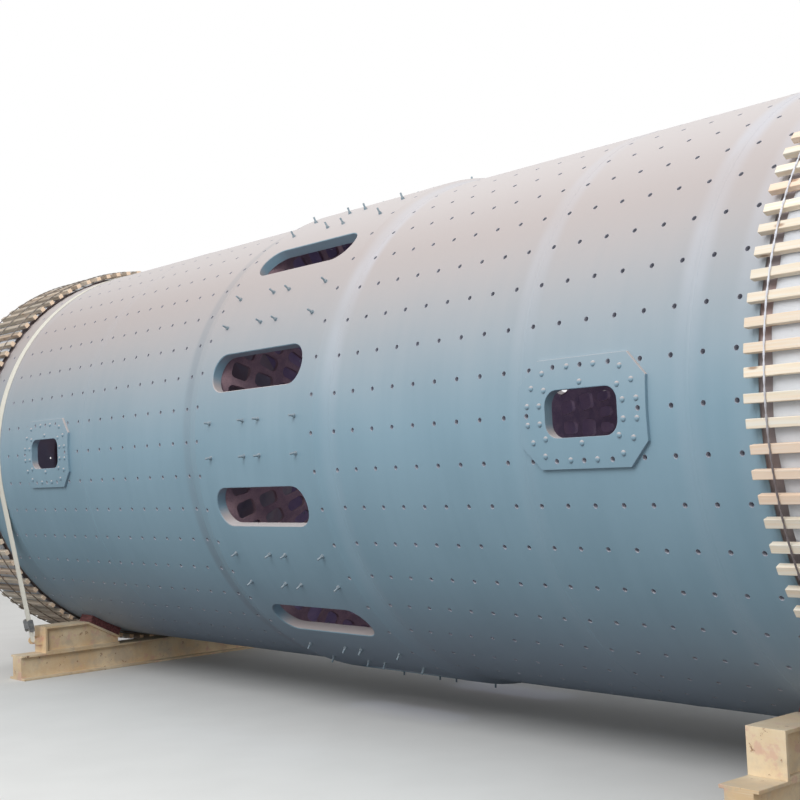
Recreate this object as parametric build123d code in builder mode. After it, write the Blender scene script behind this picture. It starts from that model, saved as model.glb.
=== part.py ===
from build123d import *
from math import asin, atan2, cos, hypot, radians, sin
import os

# The welded drum of a middle-discharge tube mill, lagged for transport and lying on two cradles.
# Millimetres. X runs along the drum, Z is up and the near side faces -Y. The origin is on the
# floor under the middle of the drum.

os.makedirs("parts", exist_ok=True)

# Drum shell
drum_length = 13500
inner_radius = 2300
shell_wall = 50
outer_radius = inner_radius + shell_wall
outer_course = 510       # length of the courses beside the slip rings
middle_course_left = 2000
middle_course_right = 1460

# Discharge ring, the thick course with the slots
ring_offset = 270        # its middle, from the middle of the drum
ring_length = 2200
ring_wall = 95
ring_taper = 170         # length over which the thick plate is bevelled down to the thin one
slot_count = 12
slot_length = 1400
slot_width = 360

# Liner bolt grid: twelve of its holes are modelled, six in each inner course
column_pitch = 250
column_margin = 60       # from the end of the discharge ring to the first column
hole_radius = 18
holes_each_side = 6

# Manholes, each centred on a column of the bolt grid
manhole_setback_left = 1170      # from the seam of the outer course
manhole_setback_right = 880
manhole_length = 650
manhole_height = 330
manhole_corner = 105
pad_length = 1130
pad_height = 760
pad_corner = 165
pad_thickness = 25

# Slip rings, their end heads and the transport wrapping
slip_ring_length = 1000
slip_ring_step = 25      # height of the running face above the shell
slip_ring_depth = 60     # how far the ring reaches inside the shell's bore
neck_length = 180
neck_step = 20           # how far the neck lies below the shell's face
head_thickness = 40
head_inset = 90          # from the drum's end to the head's outer face
head_opening_radius = 850
collar_wall = 30
collar_length = 120
head_bolt_circle_radius = 970
head_bolt_count = 12
head_bolt_radius = 16
wrap_thickness = 10

# Diaphragms inside the discharge ring: twelve windows of the outer row are modelled
diaphragm_thickness = 40
diaphragm_opening_radius = 600
window_count = 12
window_length = 200      # along the radius
window_width = 150
window_corner = 45
window_edge = 200        # from the rim to the windows' centres

# Timber lagging
slat_count = 100
slat_width = 60
slat_thickness = 50
slat_length = 1190
slat_inset = 20          # from the drum's end to the slats' outer ends
wire_thickness = 12
wire_places = (150, 595, 1040)   # from the slats' inner ends

# Cradles
cradle_inset = 1580      # from the drum's end to the cradle's middle
cradle_width = 300
base_length = 4400
base_height = 290
base_flange = 25
base_flange_width = 400
base_web = 20
base_web_spacing = 200
drum_clearance = 25      # between the base beam and the drum
saddle_angle = 27        # from straight below the axis to the middle of each pad
pad_block_length = 430
pad_block_thickness = 85
bracket_plate = 25
bracket_reach = 1890     # from the axis to the bracket's outer face

# Webbing strap over the left end
strap_offset = 20        # from the middle of the left cradle, towards the drum's end
strap_width = 130
strap_thickness = 5
pin_radius = 20
pin_standoff = 60        # from the bracket's outer face to the pin's axis
pin_height = 145         # above the base beam
lug_thickness = 15
lug_radius = 45
lug_gap = 10             # between the strap and each lug

# Ratchet buckle on the near run of the strap
buckle_rise = 200        # from the pin to its middle, along the strap
buckle_length = 150
buckle_depth = 66
buckle_lift = 12         # of the side plates' middle, outwards from the strap's
buckle_plate = 4
buckle_corner = 20
buckle_axle_radius = 16
buckle_bar_radius = 7
buckle_end = 15          # from the side plates' ends to the bars' axes
handle_length = 100

fit_gap = 0.3
ring_outer_radius = inner_radius + ring_wall
slip_radius = outer_radius + slip_ring_step
wrap_radius = slip_radius + wrap_thickness
slat_radius = wrap_radius + fit_gap
wire_radius = slat_radius + slat_thickness + fit_gap
axis_height = base_height + drum_clearance + outer_radius
half_length = drum_length / 2
half_shell = half_length - slip_ring_length - neck_length
cradle_distance = half_length - cradle_inset
strap_place = -cradle_distance - strap_offset
sides = {"left": -1, "right": 1}
middle_course = {"left": middle_course_left, "right": middle_course_right}
manhole_x = {
    "left": manhole_setback_left + outer_course - half_shell,
    "right": half_shell - outer_course - manhole_setback_right,
}

section_plane = Plane(origin=(0, 0, axis_height), x_dir=(0, 1, 0), z_dir=(1, 0, 0))


def section_at(x):
    """The drum's cross-section plane at x: its own x is +Y and its own y is up."""
    return section_plane.offset(x)


def radial_plane(x, turn):
    """A plane on the drum's axis at x that faces outwards, turned up from the near side by degrees."""
    out = (0, -cos(radians(turn)), sin(radians(turn)))
    return Plane(origin=(x, 0, axis_height), x_dir=(1, 0, 0), z_dir=out)


def column_x(side, column):
    """Place along the drum of a column of the liner bolt grid, counted from the discharge ring."""
    return ring_offset + sides[side] * (ring_length / 2 + column_margin + column * column_pitch)


# Rolled shell courses: inner, middle and outer on each side of the discharge ring
for side, way in sides.items():
    seams = [
        ring_offset + way * ring_length / 2,
        way * (half_shell - outer_course - middle_course[side]),
        way * (half_shell - outer_course),
        way * half_shell,
    ]
    for place, start, end in zip(("inner", "middle", "outer"), seams[:-1], seams[1:]):
        with BuildPart() as course:
            with BuildSketch(section_at(start)):
                Circle(outer_radius)
                Circle(inner_radius, mode=Mode.SUBTRACT)
            extrude(amount=end - start)
            if place == "inner":
                with BuildSketch(radial_plane(0, 0)):
                    for column in range(holes_each_side):
                        with Locations((column_x(side, column), 0)):
                            Circle(hole_radius)
                extrude(amount=outer_radius * 2, mode=Mode.SUBTRACT)
            if place == "middle":
                for turn in (0, 180):
                    with BuildSketch(radial_plane(manhole_x[side], turn)):
                        RectangleRounded(manhole_length, manhole_height, manhole_corner)
                    extrude(amount=outer_radius * 2, mode=Mode.SUBTRACT)
        course.part.label = f"shell_{side}_{place}"
        export_step(course.part, f"parts/shell_{side}_{place}.step")

# Discharge ring: a thick course bevelled at both ends, with a ring of oval slots
with BuildPart() as discharge_ring:
    with BuildSketch(Plane(origin=(ring_offset, 0, axis_height), x_dir=(1, 0, 0), z_dir=(0, -1, 0))):
        with BuildLine():
            Polyline(
                (-ring_length / 2, inner_radius),
                (-ring_length / 2, outer_radius),
                (-ring_length / 2 + ring_taper, ring_outer_radius),
                (ring_length / 2 - ring_taper, ring_outer_radius),
                (ring_length / 2, outer_radius),
                (ring_length / 2, inner_radius),
                close=True,
            )
        make_face()
    revolve(axis=Axis((0, 0, axis_height), (1, 0, 0)))
    for slot in range(slot_count):
        with BuildSketch(radial_plane(ring_offset, (slot + 0.5) * 360 / slot_count)):
            SlotOverall(slot_length, slot_width)
        extrude(amount=ring_outer_radius * 2, mode=Mode.SUBTRACT)
discharge_ring.part.label = "discharge_ring"
export_step(discharge_ring.part, "parts/discharge_ring.step")

# Diaphragms: windowed discs just beyond the ends of the slots
for side, way in sides.items():
    with BuildPart() as diaphragm:
        with BuildSketch(section_at(ring_offset + way * slot_length / 2)):
            Circle(inner_radius - fit_gap)
            Circle(diaphragm_opening_radius, mode=Mode.SUBTRACT)
            with PolarLocations(inner_radius - window_edge, window_count):
                RectangleRounded(window_length, window_width, window_corner, mode=Mode.SUBTRACT)
        extrude(amount=way * diaphragm_thickness)
    diaphragm.part.label = f"diaphragm_{side}"
    export_step(diaphragm.part, f"parts/diaphragm_{side}.step")

# Manhole pads: curved octagonal plates on the shell, near and far
for side in sides:
    for place, turn in (("near", 0), ("far", 180)):
        with BuildPart() as manhole_pad:
            with BuildSketch(radial_plane(manhole_x[side], turn)):
                pad_outline = Rectangle(pad_length, pad_height)
                chamfer(pad_outline.vertices(), pad_corner)
                RectangleRounded(manhole_length, manhole_height, manhole_corner, mode=Mode.SUBTRACT)
            extrude(amount=outer_radius + 2 * pad_thickness)
            with BuildSketch(section_at(manhole_x[side] - pad_length)):
                Circle(outer_radius + fit_gap + pad_thickness)
                Circle(outer_radius + fit_gap, mode=Mode.SUBTRACT)
            extrude(amount=2 * pad_length, mode=Mode.INTERSECT)
        manhole_pad.part.label = f"manhole_pad_{side}_{place}"
        export_step(manhole_pad.part, f"parts/manhole_pad_{side}_{place}.step")

# Slip rings: a machined running ring with a weld neck towards the shell
for side, way in sides.items():
    ring_start = half_length - slip_ring_length
    with BuildPart() as slip_ring:
        with BuildSketch(Plane(origin=(0, 0, axis_height), x_dir=(way, 0, 0), z_dir=(0, -way, 0))):
            with BuildLine():
                Polyline(
                    (ring_start - neck_length, inner_radius),
                    (ring_start - neck_length, outer_radius),
                    (ring_start - neck_length + neck_step, outer_radius - neck_step),
                    (ring_start, outer_radius - neck_step),
                    (ring_start, slip_radius),
                    (half_length, slip_radius),
                    (half_length, inner_radius - slip_ring_depth),
                    (ring_start, inner_radius - slip_ring_depth),
                    (ring_start - slip_ring_depth, inner_radius),
                    close=True,
                )
            make_face()
        revolve(axis=Axis((0, 0, axis_height), (1, 0, 0)))
    slip_ring.part.label = f"slip_ring_{side}"
    export_step(slip_ring.part, f"parts/slip_ring_{side}.step")

    # End head: a plate inside the ring with a collared opening and a bolt circle
    head_face = way * (half_length - head_inset)
    with BuildPart() as end_head:
        with BuildSketch(section_at(head_face)):
            Circle(inner_radius - slip_ring_depth - fit_gap)
            Circle(head_opening_radius, mode=Mode.SUBTRACT)
            with PolarLocations(head_bolt_circle_radius, head_bolt_count):
                Circle(head_bolt_radius, mode=Mode.SUBTRACT)
        extrude(amount=-way * head_thickness)
        with BuildSketch(section_at(head_face - way * head_thickness)):
            Circle(head_opening_radius + collar_wall)
            Circle(head_opening_radius, mode=Mode.SUBTRACT)
        extrude(amount=-way * collar_length)
    end_head.part.label = f"end_head_{side}"
    export_step(end_head.part, f"parts/end_head_{side}.step")

    # White wrapping round the running face
    with BuildPart() as wrap:
        with BuildSketch(section_at(way * ring_start)):
            Circle(wrap_radius)
            Circle(slip_radius, mode=Mode.SUBTRACT)
        extrude(amount=way * slip_ring_length)
    wrap.part.label = f"wrap_{side}"
    export_step(wrap.part, f"parts/wrap_{side}.step")

    # Timber slats all round, lashed with three wires
    slat_start = way * (half_length - slat_inset - slat_length)
    with BuildPart() as lagging:
        with BuildSketch(section_at(slat_start)):
            with PolarLocations(slat_radius + slat_thickness / 2, slat_count):
                Rectangle(slat_thickness, slat_width)
        extrude(amount=way * slat_length)
    lagging.part.label = f"lagging_{side}"
    export_step(lagging.part, f"parts/lagging_{side}.step")

    with BuildPart() as lashing:
        for place in wire_places:
            with BuildSketch(section_at(slat_start + way * place - wire_thickness / 2)):
                for thickness, mode in ((wire_thickness, Mode.ADD), (0, Mode.SUBTRACT)):
                    RegularPolygon(wire_radius + thickness, slat_count, major_radius=False, mode=mode)
            extrude(amount=wire_thickness)
    lashing.part.label = f"lashing_{side}"
    export_step(lashing.part, f"parts/lashing_{side}.step")

# Cradles, laid out in the cross-section plane with the near side at negative Y
saddle_turn = saddle_angle - 90
saddle_radius = outer_radius + fit_gap
bracket_base = -outer_radius - drum_clearance
seat_radius = saddle_radius + pad_block_thickness


def seat_point(radius, along):
    """A point of the near saddle: radius out from the axis, and along the slope, up and outwards."""
    down = radians(90 - saddle_angle)
    return (-radius * cos(down) - along * sin(down), -radius * sin(down) + along * cos(down))


slope_half = pad_block_length / 2 + bracket_plate
slope_top, slope_end = (seat_point(seat_radius, along) for along in (slope_half, -slope_half))
under_top, under_end = (seat_point(seat_radius + bracket_plate, along) for along in (slope_half, -slope_half))
bracket_top = slope_top[1]
pin_y = -bracket_reach - pin_standoff
pin_z = bracket_base + pin_height

for side, way in sides.items():
    middle = way * cradle_distance
    start = middle - cradle_width / 2

    # Base beam: a box girder on a wide foot flange
    with BuildPart() as base:
        with BuildSketch(Plane.XY):
            with Locations((middle, 0)):
                Rectangle(base_flange_width, base_length)
        extrude(amount=base_flange)
        with BuildSketch(Plane.XY.offset(base_flange)):
            for offset in (-base_web_spacing / 2, base_web_spacing / 2):
                with Locations((middle + offset, 0)):
                    Rectangle(base_web, base_length)
            for end in (-1, 1):
                with Locations((middle, end * (base_length - base_web) / 2)):
                    Rectangle(base_web_spacing, base_web)
        extrude(amount=base_height - 2 * base_flange)
        with BuildSketch(Plane.XY.offset(base_height - base_flange)):
            with Locations((middle, 0)):
                Rectangle(cradle_width, base_length)
        extrude(amount=base_flange)
    base.part.label = f"cradle_{side}_base"
    export_step(base.part, f"parts/cradle_{side}_base.step")

    # Wedge bracket: foot, outer plate, top plate, sloping plate and two webs
    with BuildPart() as near_bracket:
        with BuildSketch(section_at(start)):
            with BuildLine():
                Polyline(slope_top, slope_end, under_end, under_top, close=True)
            make_face()
            with BuildLine():
                Polyline(
                    (-bracket_reach, bracket_base),
                    (-bracket_reach, bracket_top),
                    slope_top,
                    (under_top[0], bracket_top - bracket_plate),
                    (-bracket_reach + bracket_plate, bracket_top - bracket_plate),
                    (-bracket_reach + bracket_plate, bracket_base + bracket_plate),
                    (under_end[0], bracket_base + bracket_plate),
                    (under_end[0], bracket_base),
                    close=True,
                )
            make_face()
        extrude(amount=cradle_width)
        for offset in (-base_web_spacing / 2, base_web_spacing / 2):
            with BuildSketch(section_at(middle + offset - base_web / 2)):
                with BuildLine():
                    Polyline(
                        (-bracket_reach + bracket_plate / 2, bracket_base + bracket_plate / 2),
                        (-bracket_reach + bracket_plate / 2, bracket_top - bracket_plate / 2),
                        (under_top[0], bracket_top - bracket_plate / 2),
                        under_top,
                        under_end,
                        (under_end[0], bracket_base + bracket_plate / 2),
                        close=True,
                    )
                make_face()
            extrude(amount=base_web)
        if side == "left":
            for reach in (-1, 1):
                lug_face = strap_place + reach * (strap_width / 2 + lug_gap)
                with BuildSketch(section_at(lug_face)):
                    with Locations((pin_y, pin_z)):
                        Circle(lug_radius)
                    with Locations(((pin_y - bracket_reach) / 2, pin_z)):
                        Rectangle(pin_standoff, 2 * lug_radius)
                extrude(amount=reach * lug_thickness)
            with BuildSketch(section_at(strap_place - strap_width / 2 - lug_gap)):
                with Locations((pin_y, pin_z)):
                    Circle(pin_radius)
            extrude(amount=strap_width + 2 * lug_gap)
    with BuildPart() as far_bracket:
        mirror(near_bracket.part, about=Plane.XZ)
    near_bracket.part.label = f"cradle_{side}_bracket_near"
    export_step(near_bracket.part, f"parts/cradle_{side}_bracket_near.step")
    far_bracket.part.label = f"cradle_{side}_bracket_far"
    export_step(far_bracket.part, f"parts/cradle_{side}_bracket_far.step")

    # Pad: a block hollowed to the drum's curve
    with BuildPart() as near_pad:
        with BuildSketch(section_at(start)):
            with BuildLine():
                Polyline(
                    seat_point(saddle_radius - pad_block_thickness, pad_block_length / 2),
                    seat_point(saddle_radius - pad_block_thickness, -pad_block_length / 2),
                    seat_point(seat_radius, -pad_block_length / 2),
                    seat_point(seat_radius, pad_block_length / 2),
                    close=True,
                )
            make_face()
            Circle(saddle_radius, mode=Mode.SUBTRACT)
        extrude(amount=cradle_width)
    with BuildPart() as far_pad:
        mirror(near_pad.part, about=Plane.XZ)
    near_pad.part.label = f"cradle_{side}_pad_near"
    export_step(near_pad.part, f"parts/cradle_{side}_pad_near.step")
    far_pad.part.label = f"cradle_{side}_pad_far"
    export_step(far_pad.part, f"parts/cradle_{side}_pad_far.step")

# Webbing strap: over the drum, straight down to the pins and half round each of them
strap_inner_radius = outer_radius + fit_gap
with BuildPart() as strap:
    with BuildSketch(section_at(strap_place - strap_width / 2)):
        for thickness, mode in ((strap_thickness, Mode.ADD), (0, Mode.SUBTRACT)):
            with BuildSketch(mode=Mode.PRIVATE) as loop:
                with BuildLine():
                    CenterArc((0, 0), strap_inner_radius + thickness, 0, 360)
                    CenterArc((pin_y, pin_z), pin_radius + fit_gap + thickness, 0, 360)
                    CenterArc((-pin_y, pin_z), pin_radius + fit_gap + thickness, 0, 360)
                make_hull()
            add(loop.sketch, mode=mode)
        with Locations((0, pin_z - outer_radius / 2)):
            Rectangle(-2 * pin_y, outer_radius, mode=Mode.SUBTRACT)
    extrude(amount=strap_width)
strap.part.label = "webbing_strap"
export_step(strap.part, "parts/webbing_strap.step")

# Ratchet buckle: two side plates joined by an axle outside the strap, two bars behind it and a handle
pin_distance = hypot(pin_y, pin_z)
strap_turn = atan2(-pin_z, -pin_y) + radians(90) + asin((strap_inner_radius - pin_radius - fit_gap) / pin_distance)
strap_normal = (cos(strap_turn), sin(strap_turn))
strap_up = (sin(strap_turn), -cos(strap_turn))
strap_half = strap_thickness / 2
pin_reach = pin_radius + fit_gap + strap_half
buckle_y = pin_y + pin_reach * strap_normal[0] + buckle_rise * strap_up[0]
buckle_z = pin_z + pin_reach * strap_normal[1] + buckle_rise * strap_up[1] + axis_height


def buckle_plane(x):
    """The drum's cross-section at x, laid along the strap: its own x runs up the strap, its own y outwards."""
    return Plane(origin=(x, buckle_y, buckle_z), x_dir=(0, *strap_up), z_dir=(1, 0, 0))


plate_face = strap_width / 2 + 2 * fit_gap
with BuildPart() as buckle:
    for end in (-1, 1):
        with BuildSketch(buckle_plane(strap_place + end * plate_face)):
            with Locations((0, buckle_lift)):
                RectangleRounded(buckle_length, buckle_depth, buckle_corner)
        extrude(amount=end * buckle_plate)
    with BuildSketch(buckle_plane(strap_place - plate_face)):
        with Locations((-buckle_end, strap_half + fit_gap + buckle_axle_radius)):
            Circle(buckle_axle_radius)
        for end in (-1, 1):
            with Locations((end * (buckle_length / 2 - buckle_end), -strap_half - fit_gap - buckle_bar_radius)):
                Circle(buckle_bar_radius)
        with Locations((buckle_end, buckle_lift + buckle_depth / 2 - buckle_plate)):
            Rectangle(handle_length, buckle_plate)
    extrude(amount=2 * plate_face)
buckle.part.label = "strap_ratchet"
export_step(buckle.part, "parts/strap_ratchet.step")
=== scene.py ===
import math

import bpy
import numpy as np
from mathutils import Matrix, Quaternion, Vector, geometry


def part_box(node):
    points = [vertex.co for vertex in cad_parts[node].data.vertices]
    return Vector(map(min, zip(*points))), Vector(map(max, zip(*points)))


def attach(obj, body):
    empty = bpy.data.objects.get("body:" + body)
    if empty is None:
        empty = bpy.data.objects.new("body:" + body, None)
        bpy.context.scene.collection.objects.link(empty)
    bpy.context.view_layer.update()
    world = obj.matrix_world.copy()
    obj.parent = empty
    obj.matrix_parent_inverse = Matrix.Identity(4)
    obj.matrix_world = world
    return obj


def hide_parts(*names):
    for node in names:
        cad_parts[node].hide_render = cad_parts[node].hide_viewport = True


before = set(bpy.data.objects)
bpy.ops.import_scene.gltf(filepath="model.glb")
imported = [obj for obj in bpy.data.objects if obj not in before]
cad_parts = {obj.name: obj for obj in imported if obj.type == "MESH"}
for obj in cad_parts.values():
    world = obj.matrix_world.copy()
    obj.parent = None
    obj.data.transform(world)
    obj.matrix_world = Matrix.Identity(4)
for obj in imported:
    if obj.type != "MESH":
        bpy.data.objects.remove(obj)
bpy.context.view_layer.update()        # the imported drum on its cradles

sides = {"left": -1, "right": 1}


def extent(node):
    # lowest and highest corner of a CAD node, as arrays
    low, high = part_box(node)
    return np.array(low), np.array(high)


shellLow, shellHigh = extent("shell_right_inner")
ringLow, ringHigh = extent("discharge_ring")

drum = {
    "axis": (shellLow[2] + shellHigh[2]) / 2,
    "radius": (shellHigh[1] - shellLow[1]) / 2,
    "wall": 0.050,
    "rows": 46,              # liner bolt holes round the drum
    "pitch": 0.250,          # between them along the drum
    "margin": 0.060,         # from the end of the discharge ring to the first column
    "endMargin": 0.100,      # least distance of a column from the end of the shell
    "holeRadius": 0.018,
    "arcCuts": 4,            # facets from one row of holes to the next
    "shellEnd": extent("shell_right_outer")[1][0],
}
drum["bore"] = drum["radius"] - drum["wall"]
rowTurn = 2 * math.pi / drum["rows"]

# Camera

cameraView = {
    "place": (10.344, -9.192, 2.367),
    "forward": (-0.7611, 0.6469, 0.0476),
    "roll": -2.525,          # degrees
    "lens": 61.04,
    "sensor": 36.0,
}


def makeCamera():
    # stands at its place, looks along forward and is then rolled about that line
    data = bpy.data.cameras.new("camera")
    data.lens, data.sensor_width = cameraView["lens"], cameraView["sensor"]
    data.clip_end = 400
    camera = bpy.data.objects.new("camera", data)
    camera.location = cameraView["place"]
    camera.rotation_mode = "QUATERNION"
    level = Vector(cameraView["forward"]).to_track_quat("-Z", "Y")
    camera.rotation_quaternion = level @ Quaternion((0, 0, 1), math.radians(cameraView["roll"]))
    bpy.context.scene.collection.objects.link(camera)
    bpy.context.scene.camera = camera


makeCamera()
print("camera is set")

# Shader nodes


class Value:
    # a shader socket that adds Math nodes when it is used in an expression

    def __init__(self, shader, socket):
        self.shader, self.socket = shader, socket

    def combine(self, operation, first, second):
        return self.shader.node("ShaderNodeMath", {"operation": operation}, {0: first, 1: second})

    def __add__(self, other):
        return self.combine("ADD", self, other)

    def __radd__(self, other):
        return self.combine("ADD", other, self)

    def __sub__(self, other):
        return self.combine("SUBTRACT", self, other)

    def __rsub__(self, other):
        return self.combine("SUBTRACT", other, self)

    def __mul__(self, other):
        return self.combine("MULTIPLY", self, other)

    def __rmul__(self, other):
        return self.combine("MULTIPLY", other, self)

    def __pow__(self, other):
        return self.combine("POWER", self, other)

    def between(self, low, high, step="SMOOTHSTEP"):
        # 0 below low, 1 above high and a smooth or even step from one to the other
        return self.shader.node("ShaderNodeMapRange", {"interpolation_type": step},
                                {"Value": self, "From Min": low, "From Max": high})

    def part(self, axis):
        return self.shader.node("ShaderNodeSeparateXYZ", {}, {0: self}, axis)

    def size(self):
        # the value without its sign
        return self.shader.node("ShaderNodeMath", {"operation": "ABSOLUTE"}, {0: self})

    def wave(self, length):
        # the sine of the value, with the given wavelength
        return self.shader.node("ShaderNodeMath", {"operation": "SINE"}, {0: self * (2 * math.pi / length)})


class Shader:
    # the nodes of one material or of the world

    def __init__(self, tree):
        self.tree = tree
        tree.nodes.clear()

    def node(self, kind, settings=None, inputs=None, output=0):
        made = self.tree.nodes.new(kind)
        for name, value in (settings or {}).items():
            setattr(made, name, value)
        for socket, value in (inputs or {}).items():
            self.feed(made.inputs[socket], value)
        return Value(self, made.outputs[output]) if made.outputs else None

    def feed(self, socket, value):
        if isinstance(value, Value):
            self.tree.links.new(value.socket, socket)
        else:
            socket.default_value = value

    def mix(self, factor, first, second, blend="MIX"):
        return self.node("ShaderNodeMix", {"data_type": "RGBA", "blend_type": blend},
                         {0: factor, 6: first, 7: second}, 2)

    def place(self):
        return self.node("ShaderNodeTexCoord", {}, {}, 3)

    def field(self, name, output=1):
        return self.node("ShaderNodeAttribute", {"attribute_name": name}, {}, output)

    def stretched(self, where, scale, shift=(0, 0, 0)):
        return self.node("ShaderNodeMapping", {}, {"Vector": where, "Scale": scale, "Location": shift})

    def noise(self, where, scale, detail=4.0, roughness=0.5, distortion=0.0):
        return self.node("ShaderNodeTexNoise", {},
                         {"Vector": self.stretched(where, scale), "Scale": 1.0, "Detail": detail,
                          "Roughness": roughness, "Distortion": distortion})

    def upward(self):
        # how far the surface faces up, from -1 to 1
        return self.normal().part(2)

    def normal(self):
        return self.node("ShaderNodeNewGeometry", {}, {}, 1)

    def bump(self, height, distance, strength=1.0):
        return self.node("ShaderNodeBump", {}, {"Height": height, "Distance": distance, "Strength": strength})


def seen(red, green, blue):
    # a colour as a screen shows it, 0 to 255, as the linear colour that a shader takes:
    # share / 12.92 below 0.04045, and ((share + 0.055) / 1.055) to the power 2.4 above it
    share = np.array([red, green, blue]) / 255
    linear = np.where(share <= 0.04045, share / 12.92, ((share + 0.055) / 1.055) ** 2.4)
    return (*linear.tolist(), 1.0)


def finish(name, recipe):
    # a material with one Principled surface, whose sockets the recipe gives
    material = bpy.data.materials.new(name)
    material.use_nodes = True
    shader = Shader(material.node_tree)
    surface = shader.node("ShaderNodeBsdfPrincipled", {}, recipe(shader))
    shader.node("ShaderNodeOutputMaterial", {}, {"Surface": surface})
    return material


# Finishes

paintLook = {
    "paint": seen(136, 166, 182),
    "shade": seen(129, 159, 175),
    "scuff": seen(70, 84, 94),
    # dust on what faces up, with a painted sheen of the sky in the same colour; lighter still on the top
    # faces
    "dustAndSheen": seen(185, 176, 174),
    "dustAndSheenTop": seen(209, 203, 202),
    "weld": seen(206, 212, 224),
    # a greyer colour on what faces down: painted tint of the light from the floor
    "dirt": seen(150, 148, 162),
    "dustAndSheenAt": (-0.07, 0.68),     # how far up a face points where the dust and the painted sky sheen begin, and where they are full
    "dustAndSheenTopAt": (0.58, 1.0),
    "bounceTintAt": (0.45, 0.95),      # the same for the painted tint of the floor's light, downwards
    "weldPlaces": (-5.57, -5.06, -3.06, -0.83, 1.37, 3.60, 5.06, 5.57),
    # pale bands of primer at the seams; the one at 1.37, over the discharge ring's right bevel, is also a
    # painted highlight
    "seamTints": {-5.06: 0.10, -3.06: 0.06, 1.37: 0.40, 3.60: 0.26, 5.06: 0.44, 5.50: 0.30},
    "seamReach": 0.140,          # of a pale band, to each side of its seam
    # a darker band at the left end of the discharge ring: painted shade
    "paintedShadeBand": seen(118, 132, 144),
    "paintedShadePlace": -0.88,
    "paintedShadeReach": 0.100,
}


def shellPaint(shader):
    # blue paint, dust and a painted sky sheen on what faces up, a painted tint of the floor's light below,
    # pale bands of primer at the seams, one also a painted highlight, and one band of painted shade
    where = shader.place()
    runs = shader.noise(where, (7.0, 0.5, 0.5), 4.0, 0.5)
    clouds = shader.noise(where, (0.8, 0.8, 0.8), 4.0, 0.5)
    specks = shader.noise(where, (60.0, 60.0, 60.0), 3.0, 0.6)
    base = shader.mix((0.3 * runs + 0.7 * clouds).between(0.35, 0.65), paintLook["shade"], paintLook["paint"])
    up = shader.upward()
    # dust and a painted sky sheen grow as the face turns up, and the top faces get the lightest colour
    dustAndSheen = (up + 0.10 * (clouds - 0.5) + 0.06 * (runs - 0.5)).between(*paintLook["dustAndSheenAt"])
    dustAndSheenColour = shader.mix(up.between(*paintLook["dustAndSheenTopAt"]), paintLook["dustAndSheen"], paintLook["dustAndSheenTop"])
    base = shader.mix(dustAndSheen, base, dustAndSheenColour)
    along = where.part(0)
    # pale bands at the seams, stronger where the dust and sheen are: primer, and at the ring's right bevel
    # also a painted highlight
    seams = None
    for place, weight in paintLook["seamTints"].items():
        off = (along - place).size()
        band = (1.0 - off.between(paintLook["seamReach"] * 0.3, paintLook["seamReach"])) * weight
        seams = band if seams is None else seams + band
    patchy = shader.noise(where, (2.0, 0.9, 0.9), 3.0).between(0.34, 0.66)
    base = shader.mix(seams * (0.35 + 0.65 * patchy) * (0.20 + 0.80 * dustAndSheen), base, paintLook["weld"])
    # painted shade: a darker band at the left end of the discharge ring, weaker under the dust and sheen
    off = (along - paintLook["paintedShadePlace"]).size()
    paintedShadeBand = 1.0 - off.between(paintLook["paintedShadeReach"] * 0.3, paintLook["paintedShadeReach"])
    base = shader.mix(paintedShadeBand * (0.28 + 0.28 * patchy) * (1.0 - 0.6 * dustAndSheen), base, paintLook["paintedShadeBand"])
    # painted tint of the floor's light on what faces down
    base = shader.mix((0.0 - up).between(*paintLook["bounceTintAt"]) * 0.50, base, paintLook["dirt"])
    base = shader.mix(specks.between(0.62, 0.80) * 0.08, base, paintLook["scuff"])
    peel = shader.noise(where, (220.0, 220.0, 220.0), 2.0)
    swell = shader.noise(where, (0.9, 0.7, 0.7), 2.0)
    return {
        "Base Color": base,
        "Roughness": 0.46 + 0.20 * dustAndSheen + 0.06 * clouds,
        "Normal": shader.bump(swell * 0.003 + peel * 0.00012, 1.0, 0.7),
    }


def holePaint(shader):
    # overspray on the drilled walls of the bolt holes
    grain = shader.noise(shader.place(), (90.0, 90.0, 90.0), 3.0)
    base = shader.mix(grain.between(0.35, 0.65), seen(156, 160, 172), seen(186, 186, 194))
    return {"Base Color": base, "Roughness": 0.6, "Normal": shader.bump(grain, 0.0004)}


def borePaint(shader):
    # rust and shop dirt on the unpainted inside
    where = shader.place()
    blotch = shader.noise(where, (2.5, 2.5, 2.5), 6.0, 0.6)
    fine = shader.noise(where, (40.0, 40.0, 40.0), 4.0)
    base = shader.mix(blotch.between(0.35, 0.65), seen(132, 112, 134), seen(156, 130, 146))
    base = shader.mix(fine.between(0.55, 0.75) * 0.4, base, seen(100, 84, 102))
    return {"Base Color": base, "Roughness": 0.75 + 0.15 * fine, "Normal": shader.bump(fine, 0.0008)}


def ringSteel(shader):
    # machined steel under a thin coat
    where = shader.place()
    turned = shader.noise(where, (160.0, 1.2, 1.2), 3.0)
    clouds = shader.noise(where, (1.8, 1.8, 1.8), 5.0)
    base = shader.mix(clouds.between(0.35, 0.65), seen(150, 140, 142), seen(172, 160, 160))
    base = shader.mix(clouds.between(0.48, 0.60) * 0.6, base, seen(160, 132, 126))
    return {"Base Color": base, "Metallic": 0.25, "Roughness": 0.42 + 0.2 * turned,
            "Normal": shader.bump(turned, 0.0004)}


def ironRust(shader):
    # even brown rust on bare iron
    where = shader.place()
    blotch = shader.noise(where, (6.0, 6.0, 6.0), 6.0, 0.65)
    fine = shader.noise(where, (70.0, 70.0, 70.0), 4.0)
    base = shader.mix(blotch.between(0.35, 0.65), seen(150, 126, 136), seen(178, 148, 154))
    base = shader.mix(fine.between(0.5, 0.75) * 0.4, base, seen(112, 94, 104))
    return {"Base Color": base, "Roughness": 0.8, "Normal": shader.bump(fine, 0.0010)}


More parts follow.
